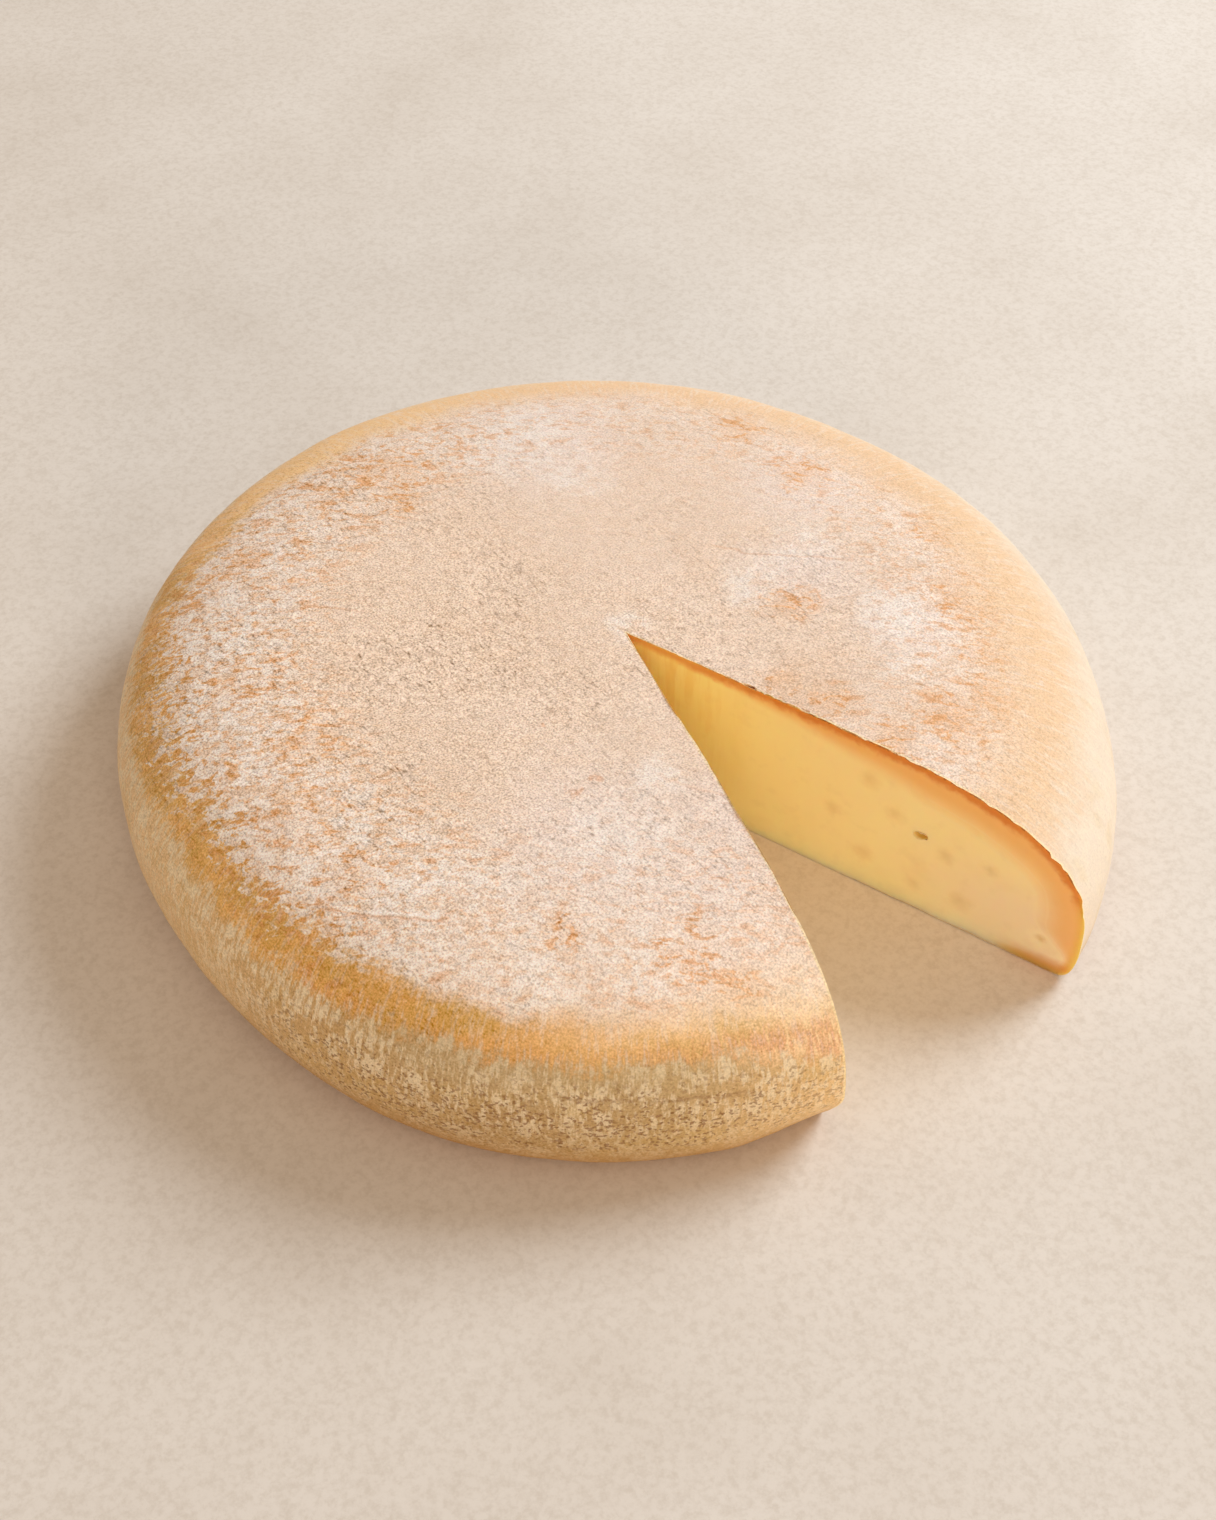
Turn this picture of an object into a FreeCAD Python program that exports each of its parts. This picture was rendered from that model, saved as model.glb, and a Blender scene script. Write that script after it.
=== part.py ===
"""A soft washed-rind cheese wheel with one wedge cut out of it.

The wheel lies flat on its base: +Z is up, and the middle of the cut-out wedge points along -Y.
The origin is on the face that the wheel rests on, below the middle of its widest level. Sizes
are in millimetres.

The cheese is one piece. Seen from above it is a slight oval, a little longer along Y. In section
it has a flat middle, a long round shoulder that falls to a low bulging belly, and a small heel
that turns under to the flat base. It is lofted through level ovals, whose heights and insets
follow two quarter superellipses: one from the base up to the belly, and one from there to the
top. The soft cheese has slumped a little, so the ovals of the base and of the flat top lie to
one side of the belly's.
"""

import FreeCAD, Part
import math
import os

import Sketcher

# Driving dimensions: alias, value, what it is.
SIZES = [
    ("mean_diameter", 140.0, "mean of the wheel's two diameters"),
    ("oval_share", 0.024, "how far each diameter is from the mean one, as a share of it"),
    ("thickness", 27.4, "height of the flat middle above the base"),
    ("belly_height", 7.5, "height at which the wheel is widest"),
    ("shoulder_run", 37.2, "from the belly in to the flat middle, seen from above"),
    ("shoulder_fullness", 2.93, "exponent of the shoulder's curve: 2 is an ellipse, more is fuller"),
    ("top_aside", -0.8, "how far the flat middle has slumped from the belly's centre, towards +X"),
    ("top_ahead", -0.95, "the same towards the opening, so less than nothing is away from it"),
    ("heel_run", 3.5, "from the belly in to the flat base, seen from above"),
    ("heel_fullness", 2.19, "exponent of the heel's curve"),
    ("base_aside", 0.9, "how far the base has slumped from the belly's centre, towards +X"),
    ("base_ahead", 0.4, "the same towards the opening"),
    ("wedge_angle", 33.8, "angle between the two cut faces, in degrees"),
    ("point_aside", 0.95, "from the belly's centre to the wedge's point, towards +X"),
    ("point_ahead", 1.5, "the same towards the opening"),
]

# Quarter-turn angles, in degrees, at which a level oval is placed on each curve.
HEEL_STEPS = [0, 25, 50, 70]
SHOULDER_STEPS = [0, 3, 8, 16, 26, 36, 46, 56, 66, 75, 83, 90]

NODE = "cheese_wheel"
PARTS_FOLDER = "parts"
LEAST_WEDGE_SHARE = 0.5  # the cut has to take at least this share of the plain pie slice's volume


def make_sheet(doc):
    """The spreadsheet that holds the driving dimensions, one to a row."""
    sheet = doc.addObject("Spreadsheet::Sheet", "Sizes")
    for row, (alias, value, words) in enumerate(SIZES, start=1):
        sheet.set(f"A{row}", words)
        sheet.set(f"B{row}", str(value))
        sheet.setAlias(f"B{row}", alias)
    doc.recompute()
    return sheet


def origin_plane(body, role):
    """The body's own origin plane with that role, such as XY_Plane."""
    return next(feature for feature in body.Origin.OriginFeatures if feature.Role == role)


def heel_level(angle):
    """Formulas for the level at a quarter-turn angle up the heel's curve from the base."""
    fall = f"cos({angle}) ^ (2 / Sizes.heel_fullness)"
    return {
        "height": f"Sizes.belly_height * (1 - {fall})",
        "inset": f"Sizes.heel_run * (1 - sin({angle}) ^ (2 / Sizes.heel_fullness))",
        "aside": f"Sizes.base_aside * ({fall}) ^ 2",
        "ahead": f"Sizes.base_ahead * ({fall}) ^ 2",
    }


def shoulder_level(angle):
    """Formulas for the level at a quarter-turn angle up the shoulder's curve from the belly."""
    rise = f"sin({angle}) ^ (2 / Sizes.shoulder_fullness)"
    return {
        "height": f"Sizes.belly_height + (Sizes.thickness - Sizes.belly_height) * {rise}",
        "inset": f"Sizes.shoulder_run * (1 - cos({angle}) ^ (2 / Sizes.shoulder_fullness))",
        "aside": f"Sizes.top_aside * ({rise}) ^ 2",
        "ahead": f"Sizes.top_ahead * ({rise}) ^ 2",
    }


def level_sketch(body, sheet, name, level):
    """A level oval of the wheel: an ellipse that is longer along Y."""
    sketch = body.newObject("Sketcher::SketchObject", name)
    sketch.AttachmentSupport = (origin_plane(body, "XY_Plane"), [""])
    sketch.MapMode = "FlatFace"
    sketch.setExpression("AttachmentOffset.Base.x", level["aside"])
    sketch.setExpression("AttachmentOffset.Base.y", f"-({level['ahead']})")
    sketch.setExpression("AttachmentOffset.Base.z", level["height"])

    reach = sheet.mean_diameter / 2
    long_end = FreeCAD.Vector(0, reach * (1 + sheet.oval_share), 0)
    short_end = FreeCAD.Vector(-reach * (1 - sheet.oval_share), 0, 0)
    oval = sketch.addGeometry(Part.Ellipse(long_end, short_end, FreeCAD.Vector(0, 0, 0)), False)
    sketch.exposeInternalGeometry(oval)
    long_axis, short_axis = oval + 1, oval + 2
    sketch.addConstraint(Sketcher.Constraint("Coincident", oval, 3, -1, 1))
    sketch.addConstraint(Sketcher.Constraint("Vertical", long_axis))
    for label, line, length, sign in (
        ("long_diameter", long_axis, long_end.Length, "+"),
        ("short_diameter", short_axis, short_end.Length, "-"),
    ):
        index = sketch.addConstraint(Sketcher.Constraint("Distance", line, 2 * length))
        sketch.renameConstraint(index, label)
        sketch.setExpression(
            f"Constraints.{label}",
            f"Sizes.mean_diameter * (1 {sign} Sizes.oval_share) - 2 * {level['inset']}",
        )
    return sketch


def loft_wheel(body, sheet):
    """The whole wheel, lofted up through its level ovals."""
    curves = [("heel", heel_level, HEEL_STEPS), ("shoulder", shoulder_level, SHOULDER_STEPS)]
    levels = [
        level_sketch(body, sheet, f"{curve}_{angle}_deg", level_at(f"{angle} deg"))
        for curve, level_at, steps in curves
        for angle in steps
    ]
    loft = body.newObject("PartDesign::AdditiveLoft", "whole_wheel")
    loft.Profile = levels[0]
    loft.Sections = levels[1:]
    loft.Ruled = False
    loft.Closed = False
    return loft


def wedge_sketch(body, sheet):
    """The wedge seen from above, at mid-height: a triangle from its point out past the rim."""
    sketch = body.newObject("Sketcher::SketchObject", "wedge_outline")
    sketch.AttachmentSupport = (origin_plane(body, "XY_Plane"), [""])
    sketch.MapMode = "FlatFace"
    sketch.setExpression("AttachmentOffset.Base.z", "Sizes.thickness / 2")

    half_angle = math.radians(sheet.wedge_angle / 2)
    reach = sheet.mean_diameter
    spread = reach * math.tan(half_angle)
    point = FreeCAD.Vector(sheet.point_aside, -sheet.point_ahead, 0)
    right = point + FreeCAD.Vector(spread, -reach, 0)
    left = point + FreeCAD.Vector(-spread, -reach, 0)
    corners = [point, right, left, point]
    for start, end in zip(corners, corners[1:]):
        sketch.addGeometry(Part.LineSegment(start, end), False)
    right_side, far_side, left_side = 0, 1, 2
    for line, following in ((right_side, far_side), (far_side, left_side), (left_side, right_side)):
        sketch.addConstraint(Sketcher.Constraint("Coincident", line, 2, following, 1))
    sketch.addConstraint(Sketcher.Constraint("Horizontal", far_side))
    sketch.addConstraint(Sketcher.Constraint("Equal", right_side, left_side))

    driven = [
        ("aside", Sketcher.Constraint("DistanceX", -1, 1, 0, 1, point.x), "Sizes.point_aside"),
        ("ahead", Sketcher.Constraint("DistanceY", 0, 1, -1, 1, -point.y), "Sizes.point_ahead"),
        (
            "opening",
            Sketcher.Constraint("Angle", left_side, 2, right_side, 1, 2 * half_angle),
            "Sizes.wedge_angle * 1 deg",
        ),
        (
            "reach",
            Sketcher.Constraint("Distance", right_side, reach / math.cos(half_angle)),
            "Sizes.mean_diameter / cos(Sizes.wedge_angle / 2 * 1 deg)",
        ),
    ]
    for label, constraint, formula in driven:
        sketch.renameConstraint(sketch.addConstraint(constraint), label)
        sketch.setExpression(f"Constraints.{label}", formula)
    return sketch


def cut_wedge(body, sheet):
    """The cut that takes the wedge out, up through the top and down through the base."""
    pocket = body.newObject("PartDesign::Pocket", "wedge_cut")
    pocket.Profile = wedge_sketch(body, sheet)
    pocket.Type = "ThroughAll"
    pocket.Midplane = True
    return pocket


def check_states(doc):
    """Stops the run if any object of the document failed to build."""
    failed = [each.Name for each in doc.Objects if {"Invalid", "Error"} & set(each.State)]
    if failed:
        raise RuntimeError(f"these objects failed: {failed}")


def check_cut(sheet, whole, cut):
    """Stops the run if the wedge wasn't taken out of the wheel."""
    taken = whole.Shape.Volume - cut.Shape.Volume
    slice_volume = sheet.wedge_angle / 360 * whole.Shape.Volume
    if taken < LEAST_WEDGE_SHARE * slice_volume:
        raise RuntimeError(f"the wedge's cut took only {taken:.0f} mm3")


def main():
    doc = FreeCAD.newDocument("cheese")
    sheet = make_sheet(doc)
    body = doc.addObject("PartDesign::Body", "wheel_body")
    body.Label = NODE
    whole = loft_wheel(body, sheet)
    doc.recompute()
    cut = cut_wedge(body, sheet)
    body.Tip = cut
    doc.recompute()

    check_states(doc)
    check_cut(sheet, whole, cut)
    if body.Shape.isNull() or not body.Shape.isValid():
        raise RuntimeError(f"{NODE} has no valid shape")
    os.makedirs(PARTS_FOLDER, exist_ok=True)
    body.Shape.exportStep(f"{PARTS_FOLDER}/{body.Label}.step")
    print(f"{body.Label}: {body.Shape.Volume / 1000:.1f} cm3, solids {len(body.Shape.Solids)}")


main()
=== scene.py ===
import math

import bpy
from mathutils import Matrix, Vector


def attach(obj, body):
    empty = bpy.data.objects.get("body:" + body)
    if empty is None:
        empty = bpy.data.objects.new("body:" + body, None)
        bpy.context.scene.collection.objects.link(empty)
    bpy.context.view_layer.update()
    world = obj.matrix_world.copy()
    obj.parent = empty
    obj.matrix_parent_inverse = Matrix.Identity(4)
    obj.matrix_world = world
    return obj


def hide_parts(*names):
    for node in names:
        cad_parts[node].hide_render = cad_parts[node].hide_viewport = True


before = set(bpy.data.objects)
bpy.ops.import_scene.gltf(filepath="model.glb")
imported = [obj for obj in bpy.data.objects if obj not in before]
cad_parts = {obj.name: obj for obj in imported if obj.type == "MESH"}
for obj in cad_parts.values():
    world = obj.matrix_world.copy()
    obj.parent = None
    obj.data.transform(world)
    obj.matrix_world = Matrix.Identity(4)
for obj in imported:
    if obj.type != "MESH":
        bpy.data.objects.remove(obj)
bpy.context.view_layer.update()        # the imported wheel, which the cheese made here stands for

mm = 0.001               # the sizes below are millimetres, the scene is in metres


class Wire:
    # one node's output: sums written with it add their own Math nodes
    def __init__(self, bench, socket):
        self.bench = bench
        self.socket = socket

    def other(self, name):
        return Wire(self.bench, self.socket.node.outputs[name])

    def __add__(self, value):
        return self.bench.maths("ADD", self, value)

    def __sub__(self, value):
        return self.bench.maths("SUBTRACT", self, value)

    def __rsub__(self, value):
        return self.bench.maths("SUBTRACT", value, self)

    def __mul__(self, value):
        return self.bench.maths("MULTIPLY", self, value)

    def __truediv__(self, value):
        return self.bench.maths("DIVIDE", self, value)

    def __rtruediv__(self, value):
        return self.bench.maths("DIVIDE", value, self)

    def __pow__(self, value):
        return self.bench.maths("POWER", self, value)

    def __neg__(self):
        return self * -1.0

    def __lt__(self, value):
        return self.bench.maths("LESS_THAN", self, value)

    def __gt__(self, value):
        return self.bench.maths("GREATER_THAN", self, value)

    __radd__ = __add__
    __rmul__ = __mul__

    def sin(self):
        return self.bench.maths("SINE", self)

    def cos(self):
        return self.bench.maths("COSINE", self)

    def size(self):
        return self.bench.maths("ABSOLUTE", self)

    def least(self, value):
        return self.bench.maths("MAXIMUM", self, value)      # never under value

    def most(self, value):
        return self.bench.maths("MINIMUM", self, value)      # never over value

    def rise(self, start, end, low=0.0, high=1.0):
        # eased step from low to high while the value goes from start to end
        ends = {"Value": self, "From Min": start, "From Max": end, "To Min": low, "To Max": high}
        return self.bench.add("ShaderNodeMapRange", {"interpolation_type": "SMOOTHSTEP"}, ends)

    def hill(self, middle, width):
        # 1 at middle, easing to 0 at width away on both sides
        return (self - middle).size().rise(0.0, width, 1.0, 0.0)


class Bench:
    # a node tree being laid out: add() makes any node, the others are short ways to call it
    def __init__(self, tree):
        self.tree = tree

    def add(self, kind, settings=None, sockets=None, output=0):
        node = self.tree.nodes.new(kind)
        for name, value in (settings or {}).items():
            if name == "stops":
                self.layStops(node.color_ramp.elements, value)
            else:
                setattr(node, name, value)
        for key, value in (sockets or {}).items():
            for item in value if isinstance(value, list) else [value]:      # a joining socket takes several
                if isinstance(item, Wire):
                    self.tree.links.new(item.socket, node.inputs[key])
                else:
                    node.inputs[key].default_value = item
        return Wire(self, node.outputs[output]) if len(node.outputs) else None

    def layStops(self, elements, stops):
        while len(elements) < len(stops):
            elements.new(0.5)
        for element, (place, colour) in zip(elements, stops):
            element.position = place
            element.color = colour

    def maths(self, operation, *values):
        return self.add("ShaderNodeMath", {"operation": operation}, dict(enumerate(values)))

    def vectorMaths(self, operation, *values):
        return self.add("ShaderNodeVectorMath", {"operation": operation}, dict(enumerate(values)))

    def vector(self, x, y, z):
        return self.add("ShaderNodeCombineXYZ", None, {0: x, 1: y, 2: z})

    def stretch(self, vector, scale):
        return self.vectorMaths("MULTIPLY", vector, scale)

    def scale(self, vector, amount):
        return self.add("ShaderNodeVectorMath", {"operation": "SCALE"}, {0: vector, "Scale": amount})

    def distance(self, first, second):
        return self.vectorMaths("DISTANCE", first, second).other("Value")

    def millimetres(self):
        # the place on the object
        return self.stretch(self.add("ShaderNodeTexCoord", None, None, "Object"), (1 / mm, 1 / mm, 1 / mm))

    def height(self, place):
        return self.add("ShaderNodeSeparateXYZ", None, {0: place}, "Z")

    def noise(self, vector, wave, seed=0.0, detail=2.0, roughness=0.5, warp=0.0):
        # cloudy pattern about 0.5, its lumps about one wave across
        sockets = {"Vector": vector, "W": seed, "Scale": 1.0 / wave, "Detail": detail,
                   "Roughness": roughness, "Distortion": warp}
        return self.add("ShaderNodeTexNoise", {"noise_dimensions": "4D"}, sockets)

    def attribute(self, name):
        return self.add("ShaderNodeAttribute", {"attribute_name": name}, None, "Fac")

    def blend(self, share, first, second):
        return self.add("ShaderNodeMix", {"data_type": "RGBA"}, {0: share, 6: first, 7: second}, 2)

    def bump(self, height, depth, strength):
        sockets = {"Strength": strength, "Distance": depth * mm, "Height": height}
        return self.add("ShaderNodeBump", None, sockets)

    def surface(self, sockets):
        finish = self.add("ShaderNodeBsdfPrincipled", None, sockets)
        self.add("ShaderNodeOutputMaterial", None, {"Surface": finish})


def paint(red, green, blue):
    # a colour written as 0 to 255 on the screen, for a colour socket
    parts = [value / 255 for value in (red, green, blue)]
    return tuple(p / 12.92 if p <= 0.04045 else ((p + 0.055) / 1.055) ** 2.4 for p in parts) + (1.0,)


def newMaterial(name):
    material = bpy.data.materials.new(name)
    material.use_nodes = True
    material.node_tree.nodes.clear()
    return material, Bench(material.node_tree)


def newObject(name, data):
    item = bpy.data.objects.new(name, data)
    bpy.context.scene.collection.objects.link(item)
    return item


def aim(item, azimuth, tip, distance, target=(0.0, 0.0, 0.0)):
    # stands a camera or a lamp off from the target and turns it there: degrees, with azimuth 0 along +X
    turned, tipped = math.radians(azimuth), math.radians(tip)
    back = Vector((math.cos(turned) * math.cos(tipped), math.sin(turned) * math.cos(tipped),
                   math.sin(tipped)))
    item.location = Vector(target) + distance * back
    item.rotation_euler = back.to_track_quat("Z", "Y").to_euler()


print("camera")
cameraPlace = {                      # degrees, metres, and the lens in millimetres
    "azimuth": -129.56,
    "elevation": 45.72,
    "distance": 0.3173,
    "target": (0.00054, 0.00193, 0.0),
    "lens": 52.05,
    "sensor": 36.0,
    "nearest": 0.01,
}


def placeCamera(place):
    data = bpy.data.cameras.new("tableCamera")
    data.sensor_fit = "VERTICAL"
    data.sensor_height = place["sensor"]
    data.lens = place["lens"]
    data.clip_start = place["nearest"]
    camera = newObject("tableCamera", data)
    aim(camera, place["azimuth"], place["elevation"], place["distance"], place["target"])
    bpy.context.scene.camera = camera


placeCamera(cameraPlace)

print("rind")
rindLook = {
    "cream": paint(241, 213, 189),           # the top's ground colour
    "tan": paint(239, 209, 182),
    "peach": paint(234, 198, 166),
    "rose": paint(243, 220, 204),
    "bloom": paint(251, 238, 226),           # dry white mould
    "orange": paint(236, 176, 118),          # skin that shows where the mould is worn
    "rust": paint(214, 144, 84),
    "chalk": paint(248, 232, 200),           # pale threads on the side
    "lichen": paint(204, 182, 140),          # greyish bloom under the band
    "olive": paint(208, 170, 88),
    "pit": paint(136, 94, 56),               # holes on the side
    # painted shade: the darker colour of the side's foot at the front
    "foot": paint(178, 130, 70),
    "paintedEdgeHighlight": paint(255, 230, 178),        # painted highlight: a pale line on the rind right at the cut

    # colours round the wheel, by degrees from the side where the wedge is out
    "band": {-70: paint(237, 199, 157), 0: paint(238, 198, 155), 50: paint(246, 204, 160),
             90: paint(253, 208, 152), 108: paint(254, 206, 146), 125: paint(253, 200, 132),
             140: paint(246, 192, 118), 165: paint(246, 194, 116), 190: paint(236, 180, 98),
             212: paint(226, 170, 92), 230: paint(244, 196, 132), 250: paint(254, 222, 176)},
    "side": {-70: paint(233, 215, 193), -30: paint(230, 207, 180), 55: paint(248, 220, 184),
             140: paint(246, 208, 158), 168: paint(238, 202, 152), 192: paint(208, 170, 116),
             215: paint(180, 145, 96), 235: paint(188, 155, 104), 252: paint(230, 193, 138)},

    # where the band starts and ends on the shoulder: 0 at the flat top's rim, 1 at the belly
    "bandStart": {-70: 0.34, 20: 0.35, 50: 0.38, 85: 0.38, 108: 0.40, 135: 0.45, 150: 0.44, 168: 0.44,
                  180: 0.48, 192: 0.505, 212: 0.52, 235: 0.525, 252: 0.50},
    "bandSoft": {-70: 0.20, 70: 0.16, 110: 0.08, 215: 0.06, 232: 0.12, 252: 0.28},
    "bandEnd": {-70: 0.53, 70: 0.56, 120: 0.60, 168: 0.60, 180: 0.645, 195: 0.64, 212: 0.625, 240: 0.66,
                252: 0.74},

    # how much white net, orange strokes, and grain with painted shade there is round the wheel
    "netShare": {-70: 0.4, -40: 0.5, 0: 0.3, 60: 0.25, 85: 0.5, 120: 0.7, 150: 0.95, 200: 1.0, 225: 0.55,
                 252: 0.3},
    "strokeShare": {-70: 0.7, -20: 0.6, 20: 0.4, 60: 0.5, 90: 1.1, 130: 1.0, 150: 1.0, 195: 0.9, 215: 0.3,
                    235: 0.45, 252: 0.5},
    "grainShadeShare": {-70: 0.85, -20: 0.8, 30: 0.6, 70: 0.6, 110: 1.1, 150: 1.25, 200: 1.15, 225: 0.85,
                   252: 0.85},

    # patches on the top: degrees round, millimetres out, size
    "tanPatches": [(135, 24, 34), (185, 38, 22), (165, 46, 18), (100, 52, 12)],
    "peachPatches": [(-56, 47, 13), (-24, 49, 12), (-40, 54, 9), (4, 52, 10), (-60, 26, 8), (168, 51, 12),
                     (104, 57, 12), (124, 58, 9)],
    "rosePatches": [(225, 38, 20), (66, 44, 18), (-36, 38, 10), (240, 44, 16), (250, 36, 12), (12, 40, 12),
                    (-12, 28, 12)],
    "bloomPatches": [(53, 1.5, 4), (-34, 37, 9), (70, 44, 12), (62, 34, 7), (229, 36, 11), (238, 28, 6),
                     (-12, 21, 8), (-2, 31, 7), (-50, 38, 5), (234, 56, 8), (190, 59, 7), (203, 60, 8),
                     (140, 56, 6), (220, 60, 7)],
    "wornPatches": [(-31, 47, 8), (-43, 49, 6), (-53, 51, 8), (-60, 46, 7), (-70, 40, 5), (-66, 30, 5),
                    (-64, 22, 4), (-24, 23, 6), (-12, 50, 6), (14, 43, 6), (30, 50, 6), (178, 52, 8),
                    (168, 47, 7), (192, 54, 6), (95, 50, 8), (150, 52, 7), (238, 54, 6), (243, 60, 5),
                    (222, 52, 4), (100, 42, 4), (124, 56, 5)],
    "spots": [(223, 27, 0.9), (218, 30, 1.2), (200, 21, 0.8)],
    "patchMiddle": (4.9, 2.5),               # the wedge's point, as the nudge moves it
    "patchNudge": 8.0,                       # how far the patches' outlines are pushed about

    # creases across the top: from and to in millimetres, and how strong
    "creases": [((-58.6, -10.9), (-46.1, -28.7), 1.0), ((20.6, 5.8), (36.8, -11.6), 0.6),
                ((23.4, -11.6), (36.9, -18.4), 0.4), ((-40, 40), (-22, 22), 0.5),
                ((-38, 43), (-18, 26), 0.4), ((-14, -22), (-4, -40), 0.4), ((-57, -14), (-44, -31), 0.5)],
    "seamHeight": 14.2,                      # a faint broken line along the front of the side

    # patterns: millimetres across a lump, seed, detail, roughness, warp
    "patterns": {
        "broad": (22.0, 1.3, 2.0),
        "sway": (12.0, 2.2, 2.0),
        "cloud": (5.0, 4.1, 3.0, 0.6),
        "nudge": (3.5, 6.6, 3.0, 0.65),
        "flake": (2.3, 13.1, 4.0, 0.7, 0.4),
        "worn": (1.25, 17.3, 3.0, 0.65, 1.0),
        "mottle": (0.85, 7.7, 2.0, 0.6, 0.4),
        "pits": (0.56, 9.4, 1.0, 0.5),
        "hair": (0.40, 4.4, 1.0, 0.5),
        "grit": (0.26, 2.9, 1.0, 0.5),
        "fingers": (1.4, 5.2, 4.0, 0.65),    # these two are drawn out down the side
        "threads": (0.9, 6.2, 3.0, 0.6),
    },
    # how much each layer covers the ones under it
    "cover": {
        "tan": 0.4, "peach": 0.7, "rose": 0.85, "net": 0.80, "orange": 0.80, "rust": 0.60, "spots": 0.45,
        "bandOlive": 0.45, "bandStrokes": 0.6, "bandBloom": 0.25, "sideOlive": 0.18, "lichen": 0.45,
        "pits": 0.72, "seam": 0.42, "lips": 0.15, "lines": 0.45, "paintedEdgeHighlight": 0.7,
    },
    "drawnAt": 44,                           # degrees, the way that the cloth's draw runs over the top
    "marked": (60.0, 120.0),                 # degrees where the quiet right turns into the marked left
    "grain": 0.55,                           # the depth of the grain and its painted shade, as a share of the colour
    "grainShadeLift": (0.29, 0.27, 0.25),         # and as what it adds to red, green and blue
    "roughness": (0.62, 0.80),
    "bump": 0.09,
    "finish": {"Subsurface Weight": 0.08, "Subsurface Radius": (1.0, 0.6, 0.3),
               "Subsurface Scale": 1.2 * mm, "Specular IOR Level": 0.3},
}


def makeRind(look):
    material, b = newMaterial("rindSkin")
    patterns, cover = look["patterns"], look["cover"]
    place = b.millimetres()
    level = b.height(place)
    lane = b.attribute("lane")               # 0 at the flat top's rim, 1 at the belly, 2 at the base's rim
    turn = b.attribute("turn")               # degrees round the wedge's point

    def around(stops):
        # a colour or a number that changes round the wheel
        first, span = -74.0, 328.0
        places = [((degrees - first) / span,
                   value if isinstance(value, tuple) else (value, value, value, 1.0))
                  for degrees, value in stops.items()]
        return b.add("ShaderNodeValToRGB", {"stops": places}, {"Fac": (turn - first) / span})

    # most patterns are drawn out along the cloth's way over the top, the hairs along another
    drawn = b.add("ShaderNodeMapping", None,
                  {"Vector": place, "Rotation": (0.0, 0.0, math.radians(look["drawnAt"]))})
    drawn = b.stretch(drawn, (0.5, 1.0, 1.0))
    broad = b.noise(place, *patterns["broad"])
    cloud = b.noise(drawn, *patterns["cloud"])
    mottle = b.noise(drawn, *patterns["mottle"])
    worn = b.noise(drawn, *patterns["worn"])
    flake = b.noise(place, *patterns["flake"])
    grit = b.noise(place, *patterns["grit"])
    hair = b.noise(b.stretch(place, (1.0, 0.28, 1.0)), *patterns["hair"])
    fingers = b.noise(b.vector(turn * 1.19, lane * 18.0, 0.0), *patterns["fingers"])
    threads = b.noise(b.vector(turn * 2.2, lane * 16.0, 4.0), *patterns["threads"])
    sway = (b.noise(place, *patterns["sway"]) - 0.5) * 0.14 + (fingers - 0.5) * 0.07
    push = look["patchNudge"]
    nudge = b.stretch(b.noise(place, *patterns["nudge"]).other("Color"), (push, push, 0.0))
    flat = b.vectorMaths("MULTIPLY_ADD", place, (1.0, 1.0, 0.0), nudge)

    def patches(spots, core=0.2):
        # how far each point is inside the nearest of the ragged patches
        inside = 0.0
        aside, along = look["patchMiddle"]
        for degrees, out, width in spots:
            turned = math.radians(degrees)
            middle = (out * math.cos(turned) + aside, out * math.sin(turned) + along, 0.0)
            inside = b.distance(flat, middle).rise(width * core, width, 1.0, 0.0).least(inside)
        return inside

    def scratch(start, end):
        # a crease along a straight line, wavering a little: its lip and the line beside it
        run = Vector(end) - Vector(start)
        ahead, aside = run.normalized(), Vector((-run.y, run.x)).normalized()
        spot = b.vectorMaths("SUBTRACT", place, (start[0], start[1], 0.0))
        along = b.vectorMaths("DOT_PRODUCT", spot, (ahead.x, ahead.y, 0.0)).other("Value")
        across = b.vectorMaths("DOT_PRODUCT", spot, (aside.x, aside.y, 0.0)).other("Value")
        across = across + (cloud - 0.5) * 3.0 + (broad - 0.5) * 6.0
        ends = along.rise(0.0, 4.0) * along.rise(run.length, run.length - 6.0)
        return across.hill(0.30, 0.45) * ends, across.hill(-0.10, 0.30) * ends

    # flat top: warm and cool ground, mould in patches
    tanned = broad.rise(0.40, 0.60) * cover["tan"] + patches(look["tanPatches"])
    skin = b.blend(tanned.most(1.0), look["cream"], look["tan"])
    skin = b.blend(patches(look["peachPatches"]) * cover["peach"], skin, look["peach"])
    skin = b.blend(patches(look["rosePatches"]) * cover["rose"], skin, look["rose"])
    dusty = patches(look["bloomPatches"])
    skin = b.blend((cloud * 0.5 + flake * 0.5).rise(0.42, 0.56) * (dusty * 0.5 + 0.08), skin, look["bloom"])

    # white net and orange strokes before the band, and orange where the mould is worn
    net = (lane.rise(0.06, 0.30) * around(look["netShare"]) + dusty * 0.35 + 0.06).most(1.0)
    net = net * (flake * 0.55 + mottle * 0.45).rise(0.44, 0.55)
    skin = b.blend(net * cover["net"], skin, look["bloom"])
    strokes = lane.rise(0.0, 0.22) * around(look["strokeShare"])
    bare = (patches(look["wornPatches"]) + strokes * 0.70 + 0.05).most(1.0) * (1 - net * 0.55)
    skin = b.blend(worn.rise(0.50, 0.57) * bare * cover["orange"], skin, look["orange"])
    skin = b.blend(worn.rise(0.57, 0.65) * bare * cover["rust"], skin, look["rust"])
    skin = b.blend(patches(look["wornPatches"], 0.0) * turn.rise(*look["marked"], 0.40, 0.24),
                   skin, look["orange"])
    skin = b.blend(patches(look["spots"], 0.3) * cover["spots"], skin, look["rust"])

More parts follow.
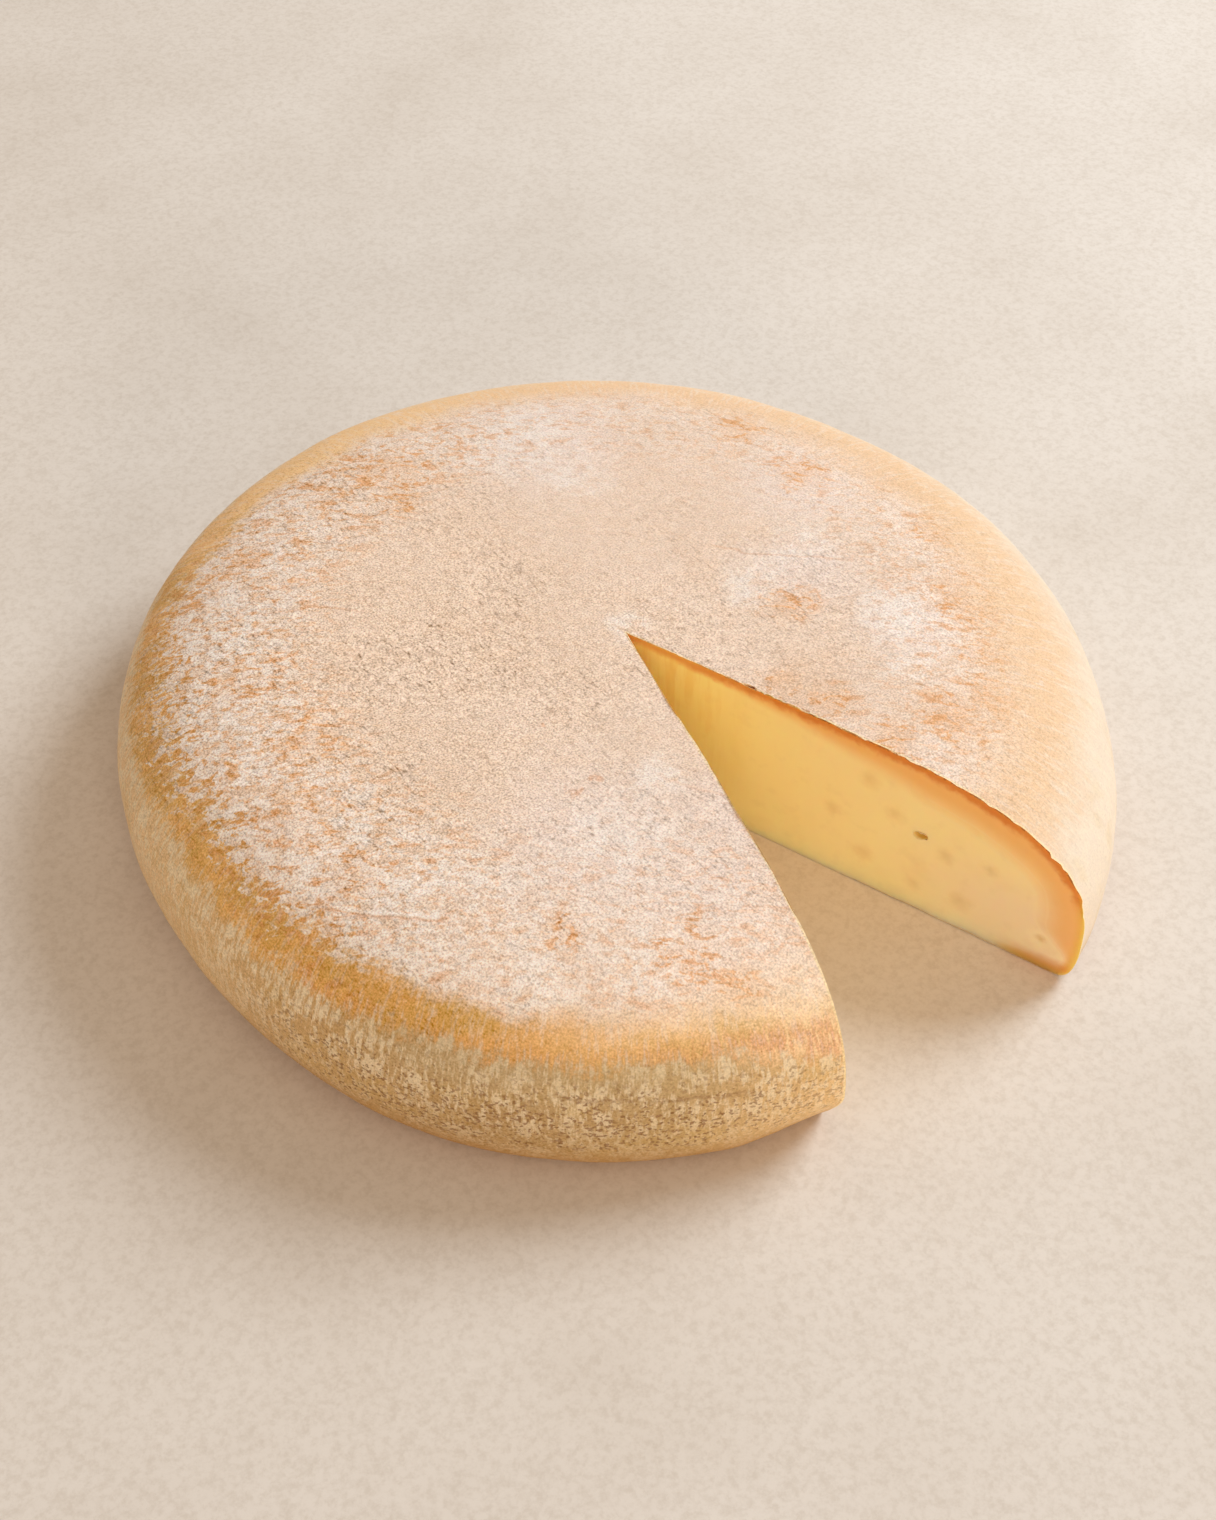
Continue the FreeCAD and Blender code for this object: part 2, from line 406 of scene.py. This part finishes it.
    # the smooth band round the shoulder, with strokes cut into it at the left
    ragged = turn.hill(158.0, 58.0)
    edge = (lane + sway + (flake - 0.5) * 0.10 + (worn - 0.5) * ragged * 0.9
            - around(look["bandStart"]) - ragged * 0.03)
    bandTint = b.blend(cloud.rise(0.42, 0.62) * turn.rise(90.0, 130.0) * cover["bandOlive"],
                       around(look["band"]), look["olive"])
    bandTint = b.blend(edge.rise(0.06, 0.14) * turn.rise(188.0, 200.0)
                       * (threads.rise(0.35, 0.6) * 0.6 + 0.12), bandTint, look["rust"])
    bandTint = b.blend(edge.rise(0.10, 0.0) * turn.rise(215.0, 235.0) * cover["bandBloom"],
                       bandTint, look["bloom"])
    bandTint = b.blend(worn.rise(0.50, 0.60) * ragged.rise(0.0, 0.5) * edge.rise(0.30, 0.05)
                       * cover["bandStrokes"], bandTint, look["rust"])
    bandTint = b.blend(threads.rise(0.50, 0.64) * 0.26 + flake.rise(0.56, 0.66) * 0.22,
                       bandTint, look["bloom"])
    band = (edge / around(look["bandSoft"]) + 0.5).rise(0.0, 1.0)
    skin = b.blend(band, skin, bandTint)

    # the side under it, with pale threads, and painted shade darkening its foot at the front
    chalky = (threads * 0.55 + flake * 0.45).rise(0.45, 0.57) * lane.rise(1.10, 0.66, 0.25, 0.70)
    sideTint = b.blend(chalky * turn.rise(60.0, 140.0, 0.3, 1.0), around(look["side"]), look["chalk"])
    sideTint = b.blend(cloud.rise(0.50, 0.66) * cover["sideOlive"], sideTint, look["olive"])
    mossy = (lane + (flake - 0.5) * 0.3).rise(0.86, 0.66)
    mossy = mossy * turn.rise(198.0, 212.0) * turn.rise(248.0, 232.0)
    sideTint = b.blend(mossy * cover["lichen"], sideTint, look["lichen"])
    side = lane + sway * 0.8 + (flake - 0.5) * 0.16 + (threads - 0.5) * 0.10 - around(look["bandEnd"])
    side = (side / turn.rise(*look["marked"], 0.20, 0.07) + 0.5).rise(0.0, 1.0)
    skin = b.blend(side, skin, sideTint)
    # painted shade: the foot of the side darker at the front, where it meets the floor
    skin = b.blend(lane.rise(1.00, 1.6) * turn.hill(202.0, 36.0).rise(0.0, 1.0, 0.65, 0.9),
                   skin, look["foot"])

    # brown pits and a broken seam on the marked side
    pitted = (lane + (flake - 0.5) * 0.4).rise(0.60, 0.86) * lane.rise(1.30, 1.05) * side
    pitted = pitted * turn.rise(178.0, 200.0) * turn.rise(236.0, 254.0, 1.0, 0.6)
    pitted = pitted * flake.rise(0.36, 0.50, 0.35, 1.0)
    pits = b.noise(b.stretch(place, (1.0, 1.0, 1.3)), *patterns["pits"]).rise(0.55, 0.62) * pitted
    skin = b.blend(pits * cover["pits"], skin, look["pit"])
    seam = level - look["seamHeight"] + (turn - 234.0) * 0.10 + (flake - 0.5) * 3.0
    seam = seam.size().rise(0.05, 0.45, 1.0, 0.0)
    seam = seam * turn.rise(222.0, 226.0) * turn.rise(246.0, 240.0) * cloud.rise(0.42, 0.50)
    skin = b.blend(seam * cover["seam"], skin, look["pit"])

    # creases, each a light lip with a dark line beside it
    lips, lines = 0.0, 0.0
    for start, end, strength in look["creases"]:
        lip, line = scratch(start, end)
        lips, lines = (lip * strength).least(lips), (line * strength).least(lines)
    skin = b.blend(lips * cover["lips"], skin, look["bloom"])
    skin = b.blend(lines * cover["lines"], skin, look["rust"])
    # painted highlight: a pale line on the rind right along the cut
    skin = b.blend(b.attribute("nearCut").rise(0.15, 0.45, cover["paintedEdgeHighlight"], 0.0), skin, look["paintedEdgeHighlight"])

    # grain in light and dark alone, partly real grain and partly painted light and shade of tiny pits and
    # hairs, fainter on the band and the side
    grainShadeAmount = b.add("ShaderNodeMix", None,
                   {0: lane.rise(-0.35, -0.8), 2: around(look["grainShadeShare"]), 3: 1.0})
    grainShadeAmount = grainShadeAmount * lane.rise(0.3, 0.6, 1.0, turn.rise(80.0, 120.0, 0.40, 0.9)) * (1 - side * 0.25)
    hairs = hair.rise(0.54, 0.70) * broad.rise(0.42, 0.58, 0.12, 0.34)
    shade = ((grit - 0.5) * 1.7 + (mottle - 0.5) * 0.34 - hairs + 0.05) * grainShadeAmount * (1 - band * 0.30)
    skin = b.scale(skin, 1 + shade * look["grain"])
    skin = b.vectorMaths("MULTIPLY_ADD", b.vector(shade, shade, shade), look["grainShadeLift"], skin)

    relief = mottle * 0.4 + (lips - lines) * 0.4 - pits * 0.6 - seam * 0.5 - flake * band * 0.3
    b.surface({"Base Color": skin, "Roughness": grit.rise(0.3, 0.7, *look["roughness"]),
               "Normal": b.bump(relief, look["bump"], 1.0), **look["finish"]})
    return material


print("paste")
pasteLook = {
    "heart": paint(255, 230, 150),           # golden towards the point: the paste's tone with painted warm bounce light
    "body": paint(255, 229, 168),
    "pale": paint(244, 220, 178),
    "gold": paint(238, 190, 92),             # streaks by the point
    "amber": paint(236, 178, 96),            # ripe paste under the rind
    "ochre": paint(228, 180, 88),
    "edge": paint(212, 132, 54),             # the cut edge of the rind
    "crumb": paint(142, 82, 34),
    "blot": paint(206, 172, 104),
    # painted shade inside the eyes and their dishes
    "eye": paint(196, 150, 30),
    "halo": paint(250, 228, 180),

    # soft blotches: face, along it, height, size
    "blots": [("right", 49.8, 12.5, 1.7), ("right", 42.1, 16.0, 1.6), ("right", 38.0, 20.2, 2.0),
              ("right", 45.9, 4.7, 1.7), ("right", 53.0, 5.3, 2.0), ("right", 38.3, 6.2, 1.8),
              ("right", 33.0, 12.0, 1.6), ("right", 56.5, 13.5, 1.4), ("left", 24.0, 16.0, 1.8),
              ("left", 37.0, 8.0, 1.9), ("left", 43.0, 14.0, 1.5), ("left", 55.0, 9.0, 1.7)],
    "spread": 1.25,                          # how far a blotch's soft edge goes past its size
    "nudge": 1.8,                            # how far blotches and rings are pushed about

    # patterns: millimetres across a lump, seed, detail, roughness
    "patterns": {
        "cloud": (8.0, 3.3, 3.0),
        "lump": (2.6, 5.1, 3.0),
        "nudge": (1.6, 8.6, 2.0),
        "streak": (1.3, 2.4, 3.0, 0.6),
        "fine": (0.7, 6.1, 3.0),
    },
    # how much each layer covers the ones under it
    "cover": {"gold": 0.35, "blots": 0.32, "amber": 0.78, "ochre": 0.75, "foot": 0.6, "crumb": 0.85,
              "lips": 0.35, "dishRing": 0.45, "dish": 0.40, "eye": 0.85},
    "roughness": (0.42, 0.58),
    "bump": 0.3,
    "finish": {"Subsurface Weight": 0.6, "Subsurface Radius": (1.0, 0.6, 0.25),
               "Subsurface Scale": 6.0 * mm, "Specular IOR Level": 0.35},
}


def makePaste(look, shape):
    material, b = newMaterial("pasteCut")
    patterns, cover, sizes = look["patterns"], look["cover"], shape["sizes"]
    place = b.millimetres()
    level = b.height(place)
    depth = b.attribute("rindDepth")         # millimetres in from the rind
    reach = b.attribute("reach")             # millimetres out from the point
    cloud = b.noise(place, *patterns["cloud"])
    lump = b.noise(place, *patterns["lump"])
    fine = b.noise(place, *patterns["fine"])
    streak = b.noise(b.stretch(place, (1.0, 1.0, 0.12)), *patterns["streak"])
    push = look["nudge"]
    nudge = b.stretch(b.noise(place, *patterns["nudge"]).other("Color"), (push, push, push))
    loose = b.vectorMaths("ADD", place, nudge)

    def awayFrom(face, along, height):
        # distance from a place on a cut face, where the pattern's own nudge has moved it
        azimuth = math.radians(sizes["Wedge Angle"] / (2 if face == "right" else -2) - 90)
        return b.distance(loose, (sizes["Point Aside"] + along * math.cos(azimuth) + push / 2,
                                  sizes["Point Along"] + along * math.sin(azimuth) + push / 2,
                                  height + push / 2))

    # golden by the point, the paste's tone with painted warm bounce light from the facing cut; paler out,
    # greyer low down at the outer end
    flesh = b.blend(reach.rise(6.0, 36.0), look["heart"], look["body"])
    flesh = b.blend(reach.rise(40.0, 60.0) * level.rise(18.0, 8.0), flesh, look["pale"])
    flesh = b.blend(cloud.rise(0.5, 0.7) * 0.14 + lump.rise(0.54, 0.70) * 0.08, flesh, look["blot"])
    flesh = b.blend(streak.rise(0.46, 0.66) * reach.rise(22.0, 6.0) * cover["gold"], flesh, look["gold"])
    blots = 0.0
    for face, along, height, width in look["blots"]:
        blots = awayFrom(face, along, height).rise(0.0, width * look["spread"], 1.0, 0.0).least(blots)
    flesh = b.blend(blots * cover["blots"], flesh, look["blot"])

    # ripe paste under the rind, wide at the outer end, with two faint arcs where it ends
    ripe = (reach.rise(10.0, 58.0, 1.5, 5.2) * level.rise(3.0, 9.0, 0.25, 1.0)).least(0.6)
    inside = (depth + (cloud - 0.5) * 1.6) / ripe
    upper = (level.rise(1.5, 5.0) + reach.rise(57.0, 63.0)).most(1.0)       # the base has no ripe line
    flesh = b.blend(inside.rise(1.5, 0.5) * upper * cover["amber"], flesh, look["amber"])
    arcs = inside.hill(1.35, 0.10) * 0.28 + inside.hill(1.05, 0.06) * 0.18
    flesh = b.blend(arcs * reach.rise(42.0, 50.0), flesh, look["halo"])
    flesh = b.blend(depth.rise(1.9, 0.5) * reach.rise(46.0, 58.0) * upper * cover["ochre"],
                    flesh, look["ochre"])

    # the rind's cut edge: at the foot of the outer end, and torn along the top with crumbs in it
    foot = reach.rise(58.0, 64.0) * (level + (lump - 0.5) * 1.5).rise(3.4, 1.4)
    flesh = b.blend(foot * cover["foot"], flesh, look["edge"])
    torn = (depth + (fine - 0.5) * 1.2 + (lump - 0.5) * 1.8).rise(2.2, 0.7) * level.rise(12.0, 17.0)
    flesh = b.blend(torn * reach.rise(4.0, 24.0, 0.5, 0.95), flesh, look["edge"])
    crumbs = (depth + (fine - 0.5) * 1.4).rise(0.65, 0.2) * fine.rise(0.45, 0.53) * level.rise(14.0, 19.0)
    flesh = b.blend(crumbs * reach.rise(6.0, 20.0) * cover["crumb"], flesh, look["crumb"])

    # eyes: painted shade inside them, a pale lip round them
    lips = 0.0
    for face, along, height, wide, tall, deep, tilt in shape["eyes"]:
        lips = awayFrom(face, along, height).rise(wide * 2.2, wide * 1.2).least(lips)
    flesh = b.blend(lips * cover["lips"], flesh, look["halo"])
    # the grazing eyes' dishes: a pale ring, and painted shade in the middle
    for face, along, height, width, deep in shape["dishes"]:
        away = awayFrom(face, along, height)
        flesh = b.blend(away.rise(width * 1.6, width * 0.9) * cover["dishRing"], flesh, look["halo"])
        flesh = b.blend(away.rise(width * 0.8, width * 0.1) * cover["dish"], flesh, look["eye"])
    # painted shade deeper inside the eyes, away from the cut's plane
    flesh = b.blend(b.attribute("nearCut").rise(0.0, 0.34) * cover["eye"], flesh, look["eye"])

    relief = fine * 0.25 + lump * 0.5 + cloud * 0.6 + streak * reach.rise(30.0, 8.0) * 0.3
    b.surface({"Base Color": flesh, "Roughness": fine.rise(0.3, 0.7, *look["roughness"]),
               "Normal": b.bump(relief, look["bump"], 0.5), **look["finish"]})
    return material


print("wheel")
wheelShape = {
    "sizes": {                           # millimetres and degrees, the tree's named inputs
        "Mean Radius": 69.4,
        "Thickness": 27.15,
        "Belly Height": 7.45,
        "Shoulder Run": 37.2,
        "Shoulder Fullness": 2.93,
        "Heel Run": 3.45,
        "Heel Fullness": 2.19,
        "Base Aside": 0.88,              # how far the base and the top sit from the belly's middle
        "Base Along": -0.40,
        "Top Aside": -0.80,
        "Top Along": 0.95,
        "Point Aside": 0.94,             # where the wedge's point is
        "Point Along": -1.48,
        "Wedge Angle": 33.76,
        "Broad Relief": 0.22,
        "Lump Relief": 0.10,
        "Ragged Edge": 1.2,              # how far the rind's torn edge strays along the cut
        "Corner Tuck": 1.1,              # how far the left cut's foot is drawn in
        "Weld": 0.004,                   # points this near are one
        "Last Weld": 0.003,
        "Sharp Angle": 0.4,              # radians between two faces that leave a sharp edge
        "Seed": 3.0,
    },
    # swellings round the outline, by how many there are: how much, and the degrees of the first
    "lobes": {2: (1.57, -88.0), 3: (0.30, -56.0), 4: (0.47, -67.5), 5: (0.42, -73.0), 6: (0.34, -21.0)},
    "lobesAt": 70,                       # the radius that their sizes are given for
    "counts": {"around": 300, "out": 80, "down": 84, "shoulder": 68},
    "eyes": [                            # face, along it, height, width, tallness, depth, tilt
        ("right", 46.0, 14.2, 0.95, 0.50, 0.42, -14.0),
        ("left", 30.0, 11.0, 0.9, 0.5, 0.8, 15.0),
        ("left", 51.0, 17.5, 0.6, 0.5, 0.5, -25.0),
    ],
    # where an eye only grazes the cut: face, along it, height, width, depth
    "dishes": [("right", 64.6, 5.2, 1.5, 0.35), ("left", 57.0, 7.0, 1.3, 0.3)],
}


def wheelTree(shape, rind, paste):
    tree = bpy.data.node_groups.new("wheelForm", "GeometryNodeTree")
    for name in shape["sizes"]:
        tree.interface.new_socket(name=name, in_out="INPUT", socket_type="NodeSocketFloat")
    tree.interface.new_socket(name="Wheel", in_out="OUTPUT", socket_type="NodeSocketGeometry")
    b = Bench(tree)
    given = b.add("NodeGroupInput")
    size = {name: given.other(name) for name in shape["sizes"]}
    counts = shape["counts"]
    height = size["Thickness"] - size["Belly Height"]        # of the shoulder, above the belly

    def fullness(angle, power):
        # distance from the middle to a squared-off ellipse, so that equal turns give even rows
        return (angle.cos().size() ** power + angle.sin().size() ** power) ** (-1.0 / power)

    def profile(share):
        # radius and level at a share of the way from the flat top down to the base
        brow = counts["shoulder"] / counts["down"]
        upperShare, lowerShare = (share / brow).most(1.0), ((share - brow) / (1 - brow)).least(0.0)
        upper, lower = (1 - upperShare) * (math.pi / 2), lowerShare * (math.pi / 2)
        upperReach = fullness(upper, size["Shoulder Fullness"])
        lowerReach = fullness(lower, size["Heel Fullness"])
        radius = (size["Mean Radius"] - size["Shoulder Run"] * (1 - upper.cos() * upperReach)
                  - size["Heel Run"] * (1 - lower.cos() * lowerReach))
        level = (size["Belly Height"] + height * upper.sin() * upperReach
                 - size["Belly Height"] * lower.sin() * lowerReach)
        return radius, level, upperShare + lowerShare

    def reachTo(azimuth, radius, level):
        # from the wedge's point along the azimuth to the outline at that level, found in three steps
        low = ((size["Belly Height"] - level) / size["Belly Height"]).least(0.0) ** 2
        high = ((level - size["Belly Height"]) / height).least(0.0) ** 2
        asideGap = size["Point Aside"] - low * size["Base Aside"] - high * size["Top Aside"]
        alongGap = size["Point Along"] - low * size["Base Along"] - high * size["Top Along"]
        towards = asideGap * azimuth.cos() + alongGap * azimuth.sin()
        apart = asideGap ** 2 + alongGap ** 2
        reach = radius
        for step in range(3):
            turned = b.maths("ARCTAN2", alongGap + reach * azimuth.sin(), asideGap + reach * azimuth.cos())
            swell = 1.0
            for count, (amount, crest) in shape["lobes"].items():
                swell = ((turned - math.radians(crest)) * count).cos() * (amount / shape["lobesAt"]) + swell
            reach = (towards ** 2 - apart + (radius * swell) ** 2) ** 0.5 - towards
        return reach

    def azimuthAt(share):
        # from the right cut round to the left cut
        return (share * (360 - size["Wedge Angle"]) - 90 + size["Wedge Angle"] * 0.5) * (math.pi / 180)

    def azimuthOf(face):
        return azimuthAt(0.0 if face == "right" else 1.0)

    def spotAt(azimuth, reach, level):
        return b.vector(size["Point Aside"] + reach * azimuth.cos(),
                        size["Point Along"] + reach * azimuth.sin(), level)

    def gridOf(columns, rows):
        # a flat grid, and how far each point is across it and up it, from 0 to 1
        grid = b.add("GeometryNodeMeshGrid", None, {"Size X": 1.0, "Size Y": 1.0,
                                                    "Vertices X": columns + 1, "Vertices Y": rows + 1})
        across = b.add("ShaderNodeSeparateXYZ", None, {0: b.add("GeometryNodeInputPosition")})
        return grid, across + 0.5, across.other("Y") + 0.5

    def store(geometry, name, value, domain="POINT", kind="FLOAT"):
        return b.add("GeometryNodeStoreNamedAttribute", {"data_type": kind, "domain": domain},
                     {"Geometry": geometry, "Name": name, "Value": value})

    def mark(parts, isPaste):
        joined = b.add("GeometryNodeJoinGeometry", None, {"Geometry": parts})
        return store(joined, "paste", isPaste, "FACE", "BOOLEAN")

    def readBack(name, kind="FLOAT"):
        return b.add("GeometryNodeInputNamedAttribute", {"data_type": kind}, {"Name": name})

    def move(geometry, offset):
        return b.add("GeometryNodeSetPosition", None, {"Geometry": geometry, "Offset": offset})

    def patch(grid, azimuth, reach, level, lane, flip):
        # bends a grid into its place on the wheel
        for name, value in (("lane", lane), ("turn", azimuth * (180 / math.pi)), ("reach", reach)):
            grid = store(grid, name, value)
        grid = b.add("GeometryNodeSetPosition", None,
                     {"Geometry": grid, "Position": spotAt(azimuth, reach, level)})
        return b.add("GeometryNodeFlipFaces", None, {"Mesh": grid}) if flip else grid

    def cap(top):
        grid, across, out = gridOf(counts["around"], counts["out"])
        radius, level, lane = profile(across * 0 + (0.0 if top else 1.0))      # the same level all over
        reach = out * reachTo(azimuthAt(across), radius, level)
        return patch(grid, azimuthAt(across), reach, level, out - 1 if top else 3 - out, top)

    def wall():
        grid, across, down = gridOf(counts["around"], counts["down"])
        radius, level, lane = profile(down)
        return patch(grid, azimuthAt(across), reachTo(azimuthAt(across), radius, level), level, lane, True)

    def cutFace(face):
        grid, out, down = gridOf(counts["out"], counts["down"])
        radius, level, lane = profile(down)
        azimuth = azimuthOf(face)
        # its rows fan out from the point's axis
        slope = (1 - out) * (1 - down) * size["Thickness"] + out * level
        return patch(grid, azimuth, out * reachTo(azimuth, radius, level), slope, lane, face == "right")

    def eyeCutter(face, along, level, wide, tall, deep, tilt):
        # a dented ball, squashed to the eye's size and turned onto the cut face
        ball = b.add("GeometryNodeMeshIcoSphere", None, {"Radius": 1.0, "Subdivisions": 3})
        dent = (b.noise(b.add("GeometryNodeInputPosition"), 1.6, along) - 0.5) * 0.9
        ball = move(ball, b.scale(b.add("GeometryNodeInputNormal"), dent))
        azimuth = azimuthOf(face)
        ball = b.add("GeometryNodeTransform", None, {"Geometry": ball, "Scale": (wide, deep, tall),
                                                     "Rotation": (0.0, math.radians(tilt), 0.0)})
        return b.add("GeometryNodeTransform", None,
                     {"Geometry": ball, "Rotation": b.vector(0.0, 0.0, azimuth),
                      "Translation": spotAt(azimuth, along, level)})

    skin = mark([cap(True), wall(), cap(False)], False)
    faces = mark([cutFace("right"), cutFace("left")], True)
    cutters = mark([eyeCutter(*eye) for eye in shape["eyes"]], True)
    wheel = b.add("GeometryNodeJoinGeometry", None, {"Geometry": [skin, faces]})
    wheel = b.add("GeometryNodeMergeByDistance", None, {"Geometry": wheel, "Distance": size["Weld"]})
    wheel = b.add("GeometryNodeMeshBoolean", {"operation": "DIFFERENCE", "solver": "EXACT"},
                  {"Mesh 1": wheel, "Mesh 2": cutters})

    # how near each point is to the skin and to the cut, for the edges' colours
    spot = b.add("GeometryNodeInputPosition")
    for name, target in (("rindDepth", skin), ("nearCut", faces)):
        wheel = store(wheel, name, b.add("GeometryNodeProximity", {"target_element": "FACES"},
                                         {"Geometry": target, "Sample Position": spot}, "Distance"))

    # the rind's edge is torn a little along the right cut
    parts = b.add("ShaderNodeSeparateXYZ", None, {0: spot})
    aside, along = parts - size["Point Aside"], parts.other("Y") - size["Point Along"]
    level = parts.other("Z")
    edge = (readBack("nearCut") < 0.02) * (readBack("rindDepth") < 0.02)
    torn = ((b.noise(spot, 1.4, size["Seed"] + 9, 3.0, 0.7) - 0.5) * 2.4
            + (b.noise(spot, 6.0, size["Seed"] + 2) - 0.5))
    torn = edge * level.rise(9.0, 14.0) * aside.rise(0.0, 6.0) * torn * size["Ragged Edge"]
    wheel = move(wheel, b.vector(-torn, 0.0, torn.most(0.0) * 0.8))

    # the left cut's foot is drawn in
    out = (aside ** 2 + along ** 2) ** 0.5
    tuck = readBack("turn").rise(240.0, 253.0) * level.rise(9.0, 0.5)
    tuck = tuck * (out / 60) ** 6 * size["Corner Tuck"]
    wheel = move(wheel, b.vector(-tuck * aside / (out + 0.01), -tuck * along / (out + 0.01), 0.0))

    # shallow hollows, always inwards
    broad = b.noise(spot, 24.0, size["Seed"], 1.0)
    lump = b.noise(spot, 5.0, size["Seed"] + 5, 2.0)
    sink = broad.rise(0.3, 0.7) * size["Broad Relief"] + lump.rise(0.3, 0.7) * size["Lump Relief"]
    for face, reach, level, width, deep in shape["dishes"]:
        sink = b.distance(spot, spotAt(azimuthOf(face), reach, level)).rise(0.0, width, deep, 0.0) + sink
    wheel = move(wheel, b.scale(b.add("GeometryNodeInputNormal"), -sink))

    wheel = b.add("GeometryNodeSetShadeSmooth", {"domain": "FACE"},
                  {"Geometry": wheel, "Shade Smooth": True})
    corner = b.add("GeometryNodeInputMeshEdgeAngle") > size["Sharp Angle"]
    wheel = b.add("GeometryNodeSetShadeSmooth", {"domain": "EDGE"},
                  {"Geometry": wheel, "Selection": corner, "Shade Smooth": False})
    wheel = b.add("GeometryNodeMergeByDistance", None, {"Geometry": wheel, "Distance": size["Last Weld"]})
    wheel = b.add("GeometryNodeTransform", None, {"Geometry": wheel, "Scale": (mm, mm, mm)})
    wheel = b.add("GeometryNodeRealizeInstances", None, {"Geometry": wheel})
    wheel = b.add("GeometryNodeSetMaterial", None, {"Geometry": wheel, "Material": rind})
    wheel = b.add("GeometryNodeSetMaterial", None,
                  {"Geometry": wheel, "Selection": readBack("paste", "BOOLEAN"), "Material": paste})
    b.add("NodeGroupOutput", None, {"Wheel": wheel})
    return tree


def makeWheel(shape, rind, paste):
    shaper = newObject("wheelShaper", bpy.data.meshes.new("wheelShaper"))
    modifier = shaper.modifiers.new("wheelForm", "NODES")
    modifier.node_group = wheelTree(shape, rind, paste)
    for item in modifier.node_group.interface.items_tree:
        if item.in_out == "INPUT":
            modifier[item.identifier] = shape["sizes"][item.name]
    settled = shaper.evaluated_get(bpy.context.evaluated_depsgraph_get())
    mesh = bpy.data.meshes.new_from_object(settled)
    bpy.data.objects.remove(shaper)
    if mesh.materials[0] is None:
        mesh.materials.pop(index=0)          # the grids' own empty slot
    mesh.calc_loop_triangles()
    print("wheel triangles", len(mesh.loop_triangles), "materials", [item.name for item in mesh.materials])
    return newObject("reblochonWheel", mesh)


rind = makeRind(rindLook)
paste = makePaste(pasteLook, wheelShape)
wheel = makeWheel(wheelShape, rind, paste)
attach(wheel, "root")
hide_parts("cheese_wheel")

print("table")
tableLook = {
    "half": 2.0,                         # metres from the middle to each side
    "tint": paint(239, 229, 217),
    "shade": paint(233, 222, 209),
    "grain": paint(196, 180, 160),
    "roughness": 0.8,
    # patterns: metres across a lump, seed, detail, roughness
    "cloudPattern": (0.05, 1.0, 5.0, 0.6),
    "grainPattern": (0.0011, 4.0, 5.0, 0.75),
}


def makeTable(look):
    half = look["half"]
    mesh = bpy.data.meshes.new("tableTop")
    corners = [(-half, -half, 0), (half, -half, 0), (half, half, 0), (-half, half, 0)]
    mesh.from_pydata(corners, [], [(0, 1, 2, 3)])
    material, b = newMaterial("paleStone")
    place = b.add("ShaderNodeTexCoord", None, None, "Object")
    cloud = b.noise(place, *look["cloudPattern"])
    grain = b.noise(place, *look["grainPattern"])
    tint = b.blend(cloud.rise(0.35, 0.65), look["shade"], look["tint"])
    tint = b.blend(grain.rise(0.60, 0.32) * 0.34 + cloud.rise(0.45, 0.25) * 0.2, tint, look["grain"])
    b.surface({"Base Color": tint, "Roughness": look["roughness"]})
    mesh.materials.append(material)
    return newObject("tableTop", mesh)


makeTable(tableLook)

print("lights")
studio = {
    "sky": 0.465,
    "skyTint": (1.0, 0.83, 0.67, 1.0),
    "lamps": {                           # azimuth and tip, distance and width in metres, watts, tint
        "windowLamp": (-6.0, 38.0, 1.2, 0.6, 12.1, (0.78, 0.89, 1.0)),
        "wallGlow": (-112.0, 11.0, 1.2, 0.4, 5.2, (1.0, 0.86, 0.72)),
    },
}


def lightStudio(look):
    world = bpy.data.worlds.new("studioSky")
    world.use_nodes = True
    background = world.node_tree.nodes["Background"]
    background.inputs["Color"].default_value = look["skyTint"]
    background.inputs["Strength"].default_value = look["sky"]
    bpy.context.scene.world = world
    for name, (azimuth, tip, distance, width, watts, tint) in look["lamps"].items():
        data = bpy.data.lights.new(name, "AREA")
        data.shape = "DISK"
        data.size = width
        data.energy = watts
        data.color = tint
        aim(newObject(name, data), azimuth, tip, distance)


lightStudio(studio)
bpy.context.scene.view_settings.view_transform = "Standard"
